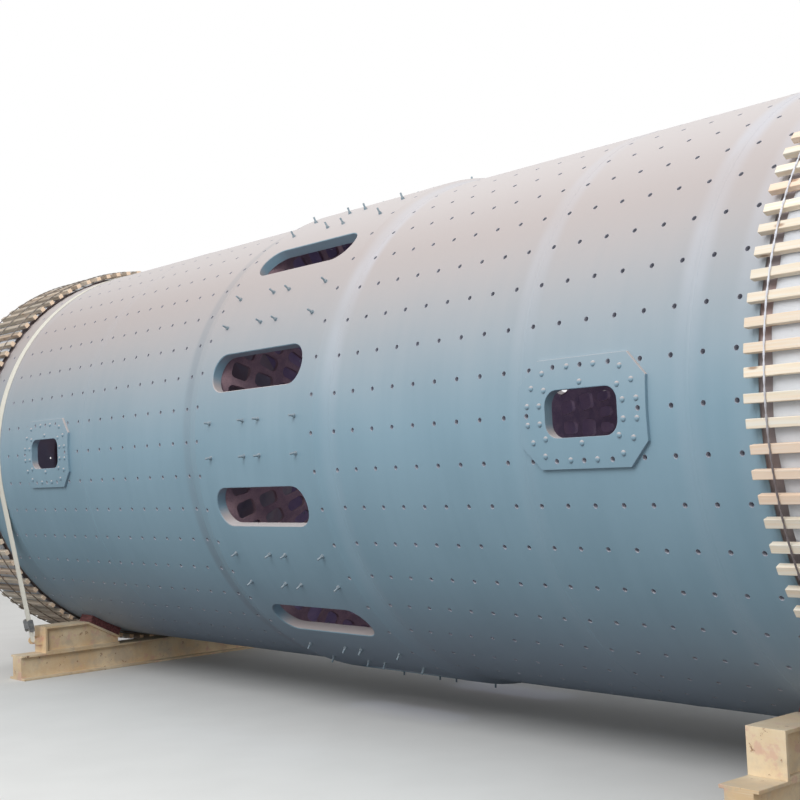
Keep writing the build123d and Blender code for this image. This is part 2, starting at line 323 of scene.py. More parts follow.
def studSteel(shader):
    # overpainted steel, dusty on top
    where = shader.place()
    clouds = shader.noise(where, (30.0, 30.0, 30.0), 4.0)
    base = shader.mix(clouds.between(0.35, 0.7), seen(130, 150, 162), seen(156, 170, 178))
    base = shader.mix(shader.upward().between(0.1, 0.9) * 0.55, base, seen(176, 172, 172))
    return {"Base Color": base, "Metallic": 0.15, "Roughness": 0.5 + 0.2 * clouds,
            "Normal": shader.bump(clouds, 0.0006)}


def slatTimber(shader):
    # sawn softwood: long grain lines, knots and end rings, on each slat's own coordinates
    grain = shader.field("grain")
    tone = shader.field("tone", 2)
    lines = shader.noise(grain, (1.4, 75.0, 75.0), 4.0, 0.55, 0.4)
    broad = shader.noise(grain, (0.8, 16.0, 16.0), 3.0)
    base = shader.mix(lines.between(0.35, 0.65), seen(254, 238, 212), seen(255, 251, 238))
    base = shader.mix(broad.between(0.45, 0.7) * 0.30, base, seen(248, 216, 182))
    base = shader.mix(tone.between(0.45, 1.0) * 0.60, base, seen(254, 216, 188))
    base = shader.mix((1.0 - tone).between(0.70, 1.0) * 0.4, base, seen(236, 226, 210))
    # painted shade: the long faces go grey, much more at the left end, while the end grain keeps its colour
    paintedShade = shader.field("paintedShade", 2)
    grey = shader.mix(broad.between(0.4, 0.65), seen(138, 126, 112), seen(176, 156, 136))
    base = shader.mix(paintedShade, base, grey)
    knots = shader.node("ShaderNodeTexVoronoi", {"feature": "F1"},
                        {"Vector": shader.stretched(grain, (3.2, 9.0, 9.0)), "Scale": 1.0})
    base = shader.mix((1.0 - knots.between(0.05, 0.16)) * 0.7, base, seen(140, 92, 58))
    ends = shader.normal().part(0).size().between(0.6, 0.9)
    rings = shader.node("ShaderNodeTexWave", {"wave_type": "RINGS", "rings_direction": "X"},
                        {"Vector": shader.stretched(grain, (1.0, 22.0, 22.0)), "Scale": 1.0,
                         "Distortion": 2.0, "Detail": 2.0})
    endBase = shader.mix(rings.between(0.2, 0.9) * 0.6, seen(255, 232, 206), seen(240, 202, 168))
    return {"Base Color": shader.mix(ends, base, endBase), "Roughness": 0.68 + 0.12 * lines,
            "Normal": shader.bump(lines + 0.6 * broad, 0.0012)}


def wrapFilm(shader):
    # woven white sheet: two sets of flat tapes over and under each other
    weave = shader.field("weave")
    where = shader.place()
    tape = 0.0045
    cloth = weave.part(0).wave(tape) * weave.part(1).wave(tape)
    dirt = shader.noise(where, (2.2, 2.2, 2.2), 6.0, 0.62)
    base = shader.mix(dirt.between(0.45, 0.75) * 0.4, seen(212, 216, 222), seen(184, 190, 198))
    base = shader.mix(shader.noise(where, (14.0, 14.0, 14.0), 4.0).between(0.62, 0.78) * 0.35, base,
                      seen(168, 168, 166))
    creases = shader.noise(where, (9.0, 26.0, 26.0), 4.0, 0.55, 0.8)
    return {"Base Color": base, "Roughness": 0.46 + 0.12 * dirt,
            "Normal": shader.bump(cloth * 0.00012 + creases * 0.0022, 1.0)}


def lashingWire(shader):
    # dull wire, darker low down and on the left end, both painted shade
    where = shader.place()
    rust = shader.noise(where, (16.0, 16.0, 16.0), 5.0, 0.6)
    base = shader.mix(rust.between(0.52, 0.7) * 0.5, seen(226, 228, 236), seen(150, 136, 132))
    # painted shade: darker low down
    low = 1.0 - where.part(2).between(2.2, 2.9)
    base = shader.mix(low * 0.85, base, seen(104, 88, 86))
    # painted shade, brown, on the wires of the left end
    base = shader.mix(shader.field("paintedShade", 2), base, seen(118, 104, 90))
    return {"Base Color": base, "Metallic": 0.15, "Roughness": 0.50 + 0.3 * rust,
            "Normal": shader.bump(rust, 0.0005)}


def strapWebbing(shader):
    # flat polyester webbing: ribs along the strap, a finer pick across it, dirt at the edges
    weave = shader.field("weave")
    across, along = weave.part(0), weave.part(1)
    ribs, picks = across.wave(0.009), along.wave(0.0032)
    edge = across.size().between(0.042, 0.066)
    grime = shader.noise(shader.place(), (5.0, 5.0, 5.0), 6.0, 0.62)
    base = shader.mix(ribs.between(-0.2, 0.9) * 0.45, seen(240, 237, 224), seen(252, 250, 240))
    base = shader.mix(edge * grime.between(0.3, 0.62) * 0.4, base, seen(176, 168, 152))
    base = shader.mix(grime.between(0.58, 0.78) * 0.3, base, seen(186, 176, 156))
    return {"Base Color": base, "Roughness": 0.85,
            "Normal": shader.bump(ribs * 0.0007 + picks * 0.0003, 1.0)}


def cradlePaint(shader):
    # ochre paint with chips down to the primer, rust at the chips and dust on what faces up
    where = shader.place()
    clouds = shader.noise(where, (2.4, 2.4, 2.4), 6.0, 0.6)
    chips = shader.noise(where, (11.0, 11.0, 11.0), 8.0, 0.68)
    scrapes = shader.noise(where, (2.0, 34.0, 60.0), 4.0, 0.6, 0.6)
    base = shader.mix(clouds.between(0.35, 0.65), seen(226, 196, 154), seen(240, 220, 186))
    base = shader.mix(scrapes.between(0.56, 0.70) * 0.5, base, seen(238, 220, 196))
    grey = shader.noise(where, (3.5, 3.5, 3.5), 6.0, 0.65)
    base = shader.mix(grey.between(0.48, 0.66) * 0.55, base, seen(200, 184, 164))
    base = shader.mix((1.0 - grey).between(0.56, 0.68) * 0.45, base, seen(232, 196, 164))
    primer = shader.noise(where, (5.0, 6.0, 6.0), 5.0, 0.6)
    base = shader.mix(primer.between(0.56, 0.66) * 0.55, base, seen(220, 174, 158))
    base = shader.mix(chips.between(0.630, 0.655) * 0.8, base, seen(168, 122, 92))
    base = shader.mix(chips.between(0.675, 0.70), base, seen(104, 78, 66))
    base = shader.mix(shader.upward().between(0.2, 1.0) * (0.35 + 0.3 * clouds), base, seen(198, 188, 170))
    return {"Base Color": base, "Roughness": 0.55 + 0.25 * chips,
            "Normal": shader.bump(chips.between(0.630, 0.655) * -0.0007 + clouds * 0.0006, 1.0)}


def padTimber(shader):
    # dark hardwood with damp patches
    where = shader.place()
    grain = shader.noise(where, (5.0, 40.0, 40.0), 5.0, 0.6, 0.3)
    base = shader.mix(grain.between(0.35, 0.65), seen(92, 52, 54), seen(130, 78, 76))
    damp = shader.noise(where, (4.0, 4.0, 4.0), 4.0)
    base = shader.mix(damp.between(0.5, 0.7) * 0.5, base, seen(74, 50, 50))
    return {"Base Color": base, "Roughness": 0.8, "Normal": shader.bump(grain, 0.0020)}


def buckleSteel(shader):
    # zinc gone dull, with rust in spots
    where = shader.place()
    bloom = shader.noise(where, (35.0, 35.0, 35.0), 5.0, 0.6)
    base = shader.mix(bloom.between(0.4, 0.65), seen(150, 152, 156), seen(178, 178, 176))
    rust = shader.noise(where, (18.0, 18.0, 18.0), 5.0)
    base = shader.mix(rust.between(0.6, 0.72) * 0.6, base, seen(122, 92, 72))
    return {"Base Color": base, "Metallic": 0.7, "Roughness": 0.38 + 0.3 * bloom,
            "Normal": shader.bump(bloom, 0.0004)}


recipes = [shellPaint, holePaint, borePaint, ringSteel, ironRust, studSteel, slatTimber, wrapFilm,
           lashingWire, strapWebbing, cradlePaint, padTimber, buckleSteel]
finishes = {recipe.__name__: finish(recipe.__name__, recipe) for recipe in recipes}
print("finishes are made:", len(finishes))

# Mesh making


def makePiece(name, points, faces, looks, slot, replaces=(), lookOf=None, normals=None, fields=None,
              crease=40):
    # one piece from an array of points and a list of arrays of faces, each with its own number of corners
    mesh = bpy.data.meshes.new(name)
    mesh.vertices.add(len(points))
    mesh.vertices.foreach_set("co", np.asarray(points, np.float32).ravel())
    corners = np.concatenate([part.ravel() for part in faces])
    sizes = np.concatenate([np.full(len(part), part.shape[1]) for part in faces])
    mesh.loops.add(len(corners))
    mesh.loops.foreach_set("vertex_index", corners.astype(np.int32))
    mesh.polygons.add(len(sizes))
    mesh.polygons.foreach_set("loop_start", np.concatenate([[0], np.cumsum(sizes)[:-1]]).astype(np.int32))
    for look in looks:
        mesh.materials.append(finishes[look])
    if lookOf is not None:
        mesh.polygons.foreach_set("material_index", np.asarray(lookOf, np.int32))
    mesh.update(calc_edges=True)
    for field, values in (fields or {}).items():
        kind = "FLOAT" if values.ndim == 1 else "FLOAT_VECTOR"
        attribute = mesh.attributes.new(field, kind, "POINT")
        values = values.astype(np.float32).ravel()
        attribute.data.foreach_set("value" if kind == "FLOAT" else "vector", values)
    mesh.shade_smooth()
    mesh.set_sharp_from_angle(angle=math.radians(crease))
    if normals is not None:
        mesh.normals_split_custom_set(normals.tolist())
    piece = bpy.data.objects.new(name, mesh)
    bpy.context.scene.collection.objects.link(piece)
    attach(piece, "root")
    if replaces:
        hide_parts(*replaces)
    return piece


def joined(parts):
    # several (points, faces) meshes as one
    points, faces, count = [], [], 0
    for partPoints, partFaces in parts:
        points.append(partPoints)
        faces += [face + count for face in partFaces]
        count += len(partPoints)
    return np.concatenate(points), faces


def onDrum(x, turn, radius):
    # the point at x along the drum, turned up from the near side: (x, -r cos, axis + r sin)
    x, turn, radius = np.broadcast_arrays(x, turn, radius)
    return np.stack([x, -radius * np.cos(turn), drum["axis"] + radius * np.sin(turn)], axis=-1)


def seats(x, turn, radius, spin=0.0):
    # where small pieces sit on the drum: their origins, and three axes each: along, round and outwards
    x, turn, radius, spin = (np.ravel(part) for part in np.broadcast_arrays(x, turn, radius, spin))
    nothing, one = np.zeros(len(turn)), np.ones(len(turn))
    along = np.stack([one, nothing, nothing], 1)
    around = np.stack([nothing, np.sin(turn), np.cos(turn)], 1)
    outwards = np.stack([nothing, -np.cos(turn), np.sin(turn)], 1)
    cosine, sine = np.cos(spin)[:, None], np.sin(spin)[:, None]
    axes = np.stack([cosine * along + sine * around, cosine * around - sine * along, outwards], 1)
    return onDrum(x, turn, radius), axes


def scattered(small, origins, axes):
    # a copy of a small mesh at every seat: origin + point @ axes
    points, faces = small
    placed = origins[:, None] + np.einsum("pk,nkd->npd", points, axes)
    shift = np.arange(len(origins))[:, None, None] * len(points)
    return placed.reshape(-1, 3), [(face[None] + shift).reshape(-1, face.shape[1]) for face in faces]


def gridFaces(rows, count, loop=False):
    # faces between rows of points, each row a closed section; loop joins the last row to the first
    starts = np.arange(rows if loop else rows - 1)[:, None] * count
    after = np.roll(starts, -1, axis=0) if loop else starts + count
    place = np.arange(count)
    ahead = np.roll(place, -1)
    return np.stack([starts + place, starts + ahead, after + ahead, after + place], -1).reshape(-1, 4)


def turned(profile, corners):
    # a profile of (radius, height) pairs, top first, turned about the third axis and closed at both ends
    profile = np.array(profile, float)
    turn = np.arange(corners) / corners * 2 * np.pi
    points = np.stack([profile[:, :1] * np.cos(turn), profile[:, :1] * np.sin(turn),
                       np.repeat(profile[:, 1:], corners, axis=1)], axis=-1).reshape(-1, 3)
    ring = np.arange(corners)
    ahead = np.roll(ring, -1)
    rows = np.arange(len(profile) - 1)[:, None] * corners
    quads = np.stack([rows + ring, rows + corners + ring, rows + corners + ahead, rows + ahead], -1)
    return points, [quads.reshape(-1, 4), ring[None], (ring[::-1] + (len(profile) - 1) * corners)[None]]


def revolved(profile, steps):
    # a closed profile of (x, radius) pairs, clockwise with the radius up, carried round the drum's axis
    profile = np.array(profile, float)
    turn = np.arange(steps) / steps * 2 * np.pi
    points = onDrum(profile[None, :, 0], turn[:, None], profile[None, :, 1]).reshape(-1, 3)
    return points, [gridFaces(steps, len(profile), loop=True)]


def chamfered(profile, size):
    # each corner of a closed profile cut off at the same distance along both of its edges
    profile = np.array(profile, float)
    back = np.roll(profile, 1, axis=0) - profile
    on = np.roll(profile, -1, axis=0) - profile
    back = back / np.linalg.norm(back, axis=1, keepdims=True) * size
    on = on / np.linalg.norm(on, axis=1, keepdims=True) * size
    return np.stack([profile + back, profile + on], axis=1).reshape(-1, 2)


def roundedOutline(half, corner, arcSteps, spacing):
    # counter-clockwise rounded rectangle: four quarter arcs joined by straight runs, cut at about the spacing
    signs = np.array([(1, 1), (-1, 1), (-1, -1), (1, -1)])
    inner = np.array(half, float) - corner
    loop = []
    for quarter in range(4):
        turn = np.linspace(0, np.pi / 2, arcSteps + 1) + quarter * np.pi / 2
        arc = signs[quarter] * inner + corner * np.stack([np.cos(turn), np.sin(turn)], 1)
        run = (signs[(quarter + 1) % 4] - signs[quarter]) * inner
        length = np.linalg.norm(run)
        if length < 1e-6:
            loop.append(arc[:-1])
            continue
        share = np.linspace(0, 1, max(math.ceil(length / spacing), 1) + 1)[1:-1, None]
        loop += [arc, arc[-1] + run * share]
    return np.concatenate(loop)


def clearance(points, half, corner):
    # distance of flat points from a rounded rectangle about the origin, negative inside it
    away = np.abs(points) - (np.array(half) - corner)
    return np.linalg.norm(np.maximum(away, 0), axis=1) + np.minimum(away.max(axis=1), 0) - corner


def flatPattern(lattice, cuts, border=None, creases=()):
    # a plate laid flat: each cut's outline grown by its bevel, the border, and the lattice points clear of
    # every cut. A rim point is its cut's centre plus an offset, and its step leads from the grown outline
    # to the true one.
    anchor, offset, step, owner, links = [], [], [], [], []
    free = np.ones(len(lattice), bool)
    count = owned = 0
    for cut in cuts:
        centres = np.array(cut["centres"], float)
        grown = np.array(cut["half"]) + cut["bevel"]
        loop = roundedOutline(grown, cut["corner"] + cut["bevel"], cut["arcSteps"], cut["spacing"])
        true = roundedOutline(cut["half"], cut["corner"], cut["arcSteps"], cut["spacing"])
        spin = np.array(cut.get("spin", np.zeros(len(centres))))
        first = np.stack([np.cos(spin), np.sin(spin)], 1)
        second = np.stack([-np.sin(spin), np.cos(spin)], 1)
        frames = np.stack([first, second], 1)
        for centre, axes in zip(centres, frames):
            free &= clearance((lattice - centre) @ axes.T, grown, cut["corner"] + cut["bevel"]) > cut["clear"]
        anchor.append(np.repeat(centres, len(loop), axis=0))
        offset.append(np.einsum("ka,nab->nkb", loop, frames).reshape(-1, 2))
        step.append(np.einsum("ka,nab->nkb", true - loop, frames).reshape(-1, 2))
        owner.append(np.repeat(owned + np.arange(len(centres)), len(loop)))
        rim = count + np.arange(len(centres))[:, None] * len(loop) + np.arange(len(loop))
        links.append(np.stack([rim, np.roll(rim, -1, axis=1)], -1).reshape(-1, 2))
        count += rim.size
        owned += len(centres)
    if border is not None:
        size = len(border["inset"])
        anchor.append(np.tile(np.array(border["centre"], float), (size, 1)))
        offset.append(border["inset"])
        step.append(border["true"] - border["inset"])
        owner.append(np.full(size, -2))
        rim = count + np.arange(size)
        links.append(np.stack([rim, np.roll(rim, -1)], -1))
        count += size
    kept = lattice[free]
    anchor.append(kept)
    offset.append(np.zeros_like(kept))
    step.append(np.zeros_like(kept))
    owner.append(np.full(len(kept), -1))
    for crease in creases:
        line = np.flatnonzero(np.abs(kept[:, 0] - crease) < 1e-6)
        line = count + line[np.argsort(kept[line, 1])]
        links.append(np.stack([line[:-1], line[1:]], -1))
    pattern = {"anchor": anchor, "offset": offset, "step": step, "owner": owner, "links": links}
    return {name: np.concatenate(parts) for name, parts in pattern.items()}


def patternFaces(pattern, seam=None):
    # triangles of the pattern outside its cuts; seam gives the two edges of a rolled plate, which meet
    flat = pattern["anchor"] + pattern["offset"]
    found = geometry.delaunay_2d_cdt(flat.tolist(), pattern["links"].tolist(), [], 0, 1e-7, True)
    source = np.array([ids[0] for ids in found[3]])
    faces = source[np.array(found[2])]
    first, second, third = (flat[faces[:, corner]] for corner in range(3))
    area = np.cross(second - first, third - first)
    faces[area < 0] = faces[area < 0][:, ::-1]
    owners = pattern["owner"][faces]
    inCut = (owners[:, 0] >= 0) & (owners[:, 0] == owners[:, 1]) & (owners[:, 1] == owners[:, 2])
    faces = faces[~inCut & (np.abs(area) > 1e-9)]
    if seam is not None:
        weld = np.arange(len(flat))
        start, end = (np.flatnonzero(np.abs(flat[:, 1] - edge) < 1e-6) for edge in seam)
        weld[end[np.argsort(flat[end, 0])]] = start[np.argsort(flat[start, 0])]
        faces = weld[faces]
    return faces


def plated(levels, top):
    # a plate: its top on the first level, the same faces turned over on the last, and walls down every rim
    count = len(levels[0])
    edges = np.concatenate([top[:, [0, 1]], top[:, [1, 2]], top[:, [2, 0]]])
    rim = edges[~np.isin(edges[:, 1] * count + edges[:, 0], edges[:, 0] * count + edges[:, 1])]
    start, end = rim[:, 0], rim[:, 1]
    walls = [np.stack([start + k * count, start + (k + 1) * count, end + (k + 1) * count, end + k * count], 1)
             for k in range(len(levels) - 1)]
    faces = [top, top[:, ::-1] + (len(levels) - 1) * count, *walls]
    used, index = np.unique(np.concatenate([face.ravel() for face in faces]), return_inverse=True)
    sizes = np.cumsum([face.size for face in faces])[:-1]
    faces = [part.reshape(-1, face.shape[1]) for part, face in zip(np.split(index.ravel(), sizes), faces)]
    return np.concatenate(levels)[used], faces, start


def rolledLevels(pattern, outerAt, bore, bevel):
    # the pattern rolled to the drum: outer face, foot of the rims' bevel, inner face
    levels = []
    for share, radiusAt in ((0, outerAt), (1, lambda x: outerAt(x) - bevel), (1, lambda x: bore + 0 * x)):
        offset = pattern["offset"] + share * pattern["step"]
        x = pattern["anchor"][:, 0] + offset[:, 0]
        radius = radiusAt(x)
        turn = pattern["anchor"][:, 1] / drum["radius"] + np.arcsin(offset[:, 1] / radius)
        levels.append(onDrum(x, turn, radius))
    return levels


def rolledNormals(points, faces, slopeAt=None):
    # true normals of the rolled faces, radial and tilted by the slope of the outer face; walls keep their own
    outer = points[faces[0].ravel()] - (0, 0, drum["axis"])
    outer[:, 0] = 0
    outer /= np.linalg.norm(outer, axis=1, keepdims=True)
    if slopeAt is not None:
        outer[:, 0] = -np.repeat(slopeAt(points[faces[0]][:, :, 0].mean(axis=1)), 3)
        outer /= np.linalg.norm(outer, axis=1, keepdims=True)
    inner = points[faces[1].ravel()] - (0, 0, drum["axis"])
    inner[:, 0] = 0
    inner /= -np.linalg.norm(inner, axis=1, keepdims=True)
    own = np.zeros((sum(face.size for face in faces[2:]), 3))
    return np.concatenate([outer, inner, own])


plateFinishes = ["shellPaint", "borePaint", "holePaint"]


def plateLooks(faces, rim, pattern):
    # 0 is the paint outside and on the walls of the large openings, 1 the inner face, 2 the bolt holes
    narrow = (pattern["owner"] >= 0) & (np.linalg.norm(pattern["offset"], axis=1) < 2 * drum["holeRadius"])
    walls = np.where(narrow[rim], 2, 0)
    return np.concatenate([np.zeros(len(faces[0])), np.ones(len(faces[1])), *[walls] * (len(faces) - 2)])


# Shell plates with the whole grid of liner bolt holes

seamTurns = (-math.pi / 2, 1.5 * math.pi)    # the rolled plates' own joint, at the bottom between two rows
seamEdges = [turn * drum["radius"] for turn in seamTurns]
roundCuts = drum["rows"] * drum["arcCuts"]
turnsRound = np.linspace(*seamTurns, roundCuts + 1)
rowTurns = (np.arange(drum["rows"]) - 11) * rowTurn

boltCut = {"half": (drum["holeRadius"],) * 2, "corner": drum["holeRadius"], "arcSteps": 3, "spacing": 0.05,
           "bevel": 0.0012, "clear": 0.010}
manhole = {"half": (0.325, 0.165), "corner": 0.105, "arcSteps": 6, "spacing": 0.060, "bevel": 0.005,
           "clear": 0.020, "free": 0.030}
manhole["places"] = {side: sum(edge[0] for edge in extent(f"manhole_pad_{side}_near")) / 2 for side in sides}


def boltColumns(start, end):
    # places of the hole columns between two seams
    found = []
    for way in sides.values():
        first = (ringLow[0] if way < 0 else ringHigh[0]) + way * drum["margin"]
        columns = first + way * np.arange(30) * drum["pitch"]
        found.append(columns[np.abs(columns) < drum["shellEnd"] - drum["endMargin"]])
    columns = np.concatenate(found)
    return np.sort(columns[(columns > start) & (columns < end)])


def boltHoles(columns, manholes=()):
    # centres of the holes on the flattened drum, without those that a manhole takes away
    x, turn = np.meshgrid(columns, rowTurns, indexing="ij")
    centres = np.stack([x.ravel(), turn.ravel() * drum["radius"]], 1)
    for place in manholes:
        for turn in (0, math.pi):
            apart = clearance(centres - (place, turn * drum["radius"]), manhole["half"], manhole["corner"])
            centres = centres[apart > manhole["free"]]
    return centres


def latticeOver(places):
    # the flattened drum's mesh points: every place along it crossed with every turn, as (x, turn * radius)
    x, turn = np.meshgrid(places, turnsRound, indexing="ij")
    return np.stack([x.ravel(), turn.ravel() * drum["radius"]], 1)


def makeCourse(side, place):
    # a rolled plate: the flat pattern of its holes carried to (x, -r cos, axis + r sin) on both faces
    node = f"shell_{side}_{place}"
    low, high = extent(node)
    start, end = low[0], high[0]
    columns = boltColumns(start, end)
    middles = (columns[1:] + columns[:-1]) / 2
    places = [start, *columns, *middles, end]
    for edge, column in ((start, columns[0]), (end, columns[-1])):
        if abs(edge - column) > 0.09:
            places.append((edge + column) / 2)
    manholes = [manhole["places"][side]] if place == "middle" else []
    cuts = [{**boltCut, "centres": boltHoles(columns, manholes)}]
    if manholes:
        cuts.append({**manhole, "centres": [(manholes[0], turn * drum["radius"]) for turn in (0, math.pi)]})
    pattern = flatPattern(latticeOver(np.unique(places)), cuts)
    levels = rolledLevels(pattern, lambda x: drum["radius"] + 0 * x, drum["bore"], boltCut["bevel"])
    points, faces, rim = plated(levels, patternFaces(pattern, seamEdges))
    makePiece(f"plate_{side}_{place}", points, faces, plateFinishes, "shell_paint", [node],
              plateLooks(faces, rim, pattern), rolledNormals(points, faces))


for side in sides:
    for place in ("inner", "middle", "outer"):
        makeCourse(side, place)
print("shell plates are made")

# Discharge ring: thick course with bevelled ends and a ring of oval slots

ring = {
    "radius": (ringHigh[1] - ringLow[1]) / 2,
    "taper": 0.170,
    "slots": 12,
    "slotHalf": (0.700, 0.180),
    "holeInset": 0.200,      # of its own hole columns, from its ends
    "latticeCuts": 16,
}
ringMiddle = (ringLow[0] + ringHigh[0]) / 2


def ringRadiusAt(x):
    # thin plate's radius at the ends, rising in a straight bevel to the thick plate's
    rise = np.clip(np.minimum(x - ringLow[0], ringHigh[0] - x) / ring["taper"], 0, 1)
    return drum["radius"] + (ring["radius"] - drum["radius"]) * rise


def ringSlopeAt(x):
    # how fast that radius rises along the drum: the bevel's slope, then nothing, then the slope downwards
    slope = (ring["radius"] - drum["radius"]) / ring["taper"]
    falling = np.where(x > ringHigh[0] - ring["taper"], -slope, 0.0)
    return np.where(x < ringLow[0] + ring["taper"], slope, falling)


def makeDischargeRing():
    # the same for the thick course, whose outer radius follows ringRadiusAt, with the slots cut out
    creases = [ringLow[0] + ring["taper"], ringHigh[0] - ring["taper"]]
    places = [ringLow[0], ringHigh[0], *np.linspace(*creases, ring["latticeCuts"] + 1)]
    slotTurns = seamTurns[0] + (np.arange(ring["slots"]) + 0.5) * 2 * math.pi / ring["slots"]
    slotCut = {"half": ring["slotHalf"], "corner": ring["slotHalf"][1], "arcSteps": 8, "spacing": 0.080,
               "bevel": 0.006, "clear": 0.020,
               "centres": [(ringMiddle, turn * drum["radius"]) for turn in slotTurns]}
    columns = [ringLow[0] + ring["holeInset"], ringHigh[0] - ring["holeInset"]]
    cuts = [{**boltCut, "centres": boltHoles(columns)}, slotCut]
    pattern = flatPattern(latticeOver(np.array(places)), cuts, creases=creases)
    levels = rolledLevels(pattern, ringRadiusAt, drum["bore"], slotCut["bevel"])
    points, faces, rim = plated(levels, patternFaces(pattern, seamEdges))
    makePiece("slotted_ring", points, faces, plateFinishes, "shell_paint", ["discharge_ring"],
              plateLooks(faces, rim, pattern), rolledNormals(points, faces, ringSlopeAt))


makeDischargeRing()
print("discharge ring is made")

# Weld beads over the seams between the courses

weldBead = {"width": 0.034, "height": 0.0025, "steps": 276, "points": 7}


def makeWelds():
    # a low half ellipse carried round the drum at each seam: x + w/2 cos, r + h sin
    parts = []
    arc = np.linspace(math.pi, 0, weldBead["points"])
    for place in paintLook["weldPlaces"]:
        rise = np.stack([place + weldBead["width"] / 2 * np.cos(arc),
                         drum["radius"] + weldBead["height"] * np.sin(arc)], 1)
        foot = [(place + weldBead["width"] / 2, drum["radius"] - 0.002),
                (place - weldBead["width"] / 2, drum["radius"] - 0.002)]
        parts.append(revolved([*rise, *foot], weldBead["steps"]))
    makePiece("seam_welds", *joined(parts), ["shellPaint"], "shell_paint")


makeWelds()

# Manhole pads with their rivets

pad = {
    "half": (0.565, 0.380),
    "chamfer": 0.165,
    "bevel": 0.0015,
    "meshRow": 0.0803,       # between the rows of its mesh
    "meshEdge": (0.045, 0.030),      # least distance of a mesh point from a chamfer and from a long edge
    "outer": (extent("manhole_pad_right_far")[1][1] - extent("manhole_pad_right_near")[0][1]) / 2,
    "inner": drum["radius"] + 0.0003,
    "edgeStep": 0.060,
    "outerRivets": [(0.490, 0.066), (0.450, 0.190), (0.350, 0.287), (0.120, 0.320)],
    "innerRivets": [(0.330, 0.168), (0.375, 0.063)],
    "middleRivets": [(0.0, 0.207)],
}
rivetHead = [(0.005, 0.0125), (0.0110, 0.0112), (0.0160, 0.0082), (0.0195, 0.0040), (0.0210, -0.001)]


def chamferedBox(half, cut, step):
    # counter-clockwise rectangle with its corners cut off, its edges divided at about the step
    wide, tall = half
    corners = np.array([(wide, -tall + cut), (wide, tall - cut), (wide - cut, tall), (cut - wide, tall),
                        (-wide, tall - cut), (-wide, cut - tall), (cut - wide, -tall), (wide - cut, -tall)])
    counts = [math.ceil(2 * (tall - cut) / step), 4, math.ceil(2 * (wide - cut) / step), 4] * 2
    loop = []
    for start, end, count in zip(corners, np.roll(corners, -1, axis=0), counts):
        loop.append(start + (end - start) * np.arange(count)[:, None] / count)
    return np.concatenate(loop)


def makePad(side, place, turn):
    # a chamfered plate rolled onto the shell round its manhole; gives the seats of its rivets
    node = f"manhole_pad_{side}_{place}"
    x = manhole["places"][side]
    centre = (x, turn * drum["radius"])
    inset = np.array(pad["half"]) - pad["bevel"]
    true = chamferedBox(pad["half"], pad["chamfer"], pad["edgeStep"])
    smaller = chamferedBox(inset, pad["chamfer"] - pad["bevel"] * (2 - math.sqrt(2)), pad["edgeStep"])
    offsets = np.stack(np.meshgrid(np.arange(-4, 5) * drum["pitch"] / 2, np.arange(-4, 5) * pad["meshRow"],
                                   indexing="ij"), -1).reshape(-1, 2)
    fromChamfer, fromEdge = pad["meshEdge"]
    reach = pad["half"][0] + pad["half"][1] - pad["chamfer"] - fromChamfer
    inside = (np.abs(offsets[:, 1]) < pad["half"][1] - fromEdge) & (np.abs(offsets).sum(axis=1) < reach)
    row = rowTurn * drum["radius"]
    holes = [(-2, 0), (2, 0), *((column, up) for column in (-1, 0, 1) for up in (-1, 1))]
    holes = [(x + column * drum["pitch"], centre[1] + up * row) for column, up in holes]
    cuts = [{**boltCut, "centres": holes}, {**manhole, "centres": [centre]}]
    pattern = flatPattern(offsets[inside] + centre, cuts, {"centre": centre, "inset": smaller, "true": true})
    levels = rolledLevels(pattern, lambda place: pad["outer"] + 0 * place, pad["inner"], pad["bevel"])
    points, faces, rim = plated(levels, patternFaces(pattern))
    makePiece(f"pad_{side}_{place}", points, faces, plateFinishes, "shell_paint", [node],
              plateLooks(faces, rim, pattern), rolledNormals(points, faces))
    rivets = [(a * wide, b * tall) for wide, tall in pad["outerRivets"] + pad["innerRivets"]
              for a in (-1, 1) for b in (-1, 1)]
    rivets += [(wide, b * tall) for wide, tall in pad["middleRivets"] for b in (-1, 1)]
    rivets = np.array(rivets)
    return seats(x + rivets[:, 0], turn + np.arcsin(rivets[:, 1] / pad["outer"]), pad["outer"])


def makePads():
    found = [makePad(side, place, turn) for side in sides
             for place, turn in (("near", 0.0), ("far", math.pi))]
    origins, axes = (np.concatenate(part) for part in zip(*found))
    makePiece("pad_rivets", *scattered(turned(rivetHead, 14), origins, axes), ["shellPaint"], "shell_paint",
              crease=70)


makePads()
print("manhole pads are made")

# Studs with nuts and washers between the slots

stud = {
    "columns": (-0.670, -0.120, 0.120, 0.670),     # from the middle of the ring
    "rowTurn": math.radians(3.85),
    "peg": [(0.0078, 0.064), (0.0092, 0.062), (0.0092, -0.002)],
    "nut": [(0.0150, 0.0190), (0.0168, 0.0178), (0.0168, 0.0030)],
    "washer": [(0.0190, 0.0034), (0.0200, 0.0026), (0.0200, -0.002)],
}


def makeStuds():
    # four pairs in each gap between two slots, each a turned peg, nut and washer, spun at random
    rng = np.random.default_rng(11)
    gaps = np.arange(ring["slots"]) * 2 * math.pi / ring["slots"]
    x, gap, row = np.meshgrid(stud["columns"], gaps, (-stud["rowTurn"], stud["rowTurn"]), indexing="ij")
    origins, axes = seats(ringMiddle + x, gap + row, ring["radius"], rng.uniform(0, np.pi, x.shape))
    small = joined([turned(stud["peg"], 12), turned(stud["nut"], 6), turned(stud["washer"], 16)])
    makePiece("ring_studs", *scattered(small, origins, axes), ["studSteel"], "shell_paint", crease=35)


makeStuds()
print("studs are made")

# Diaphragms: discs with rows of windows, seen through the slots and the manholes

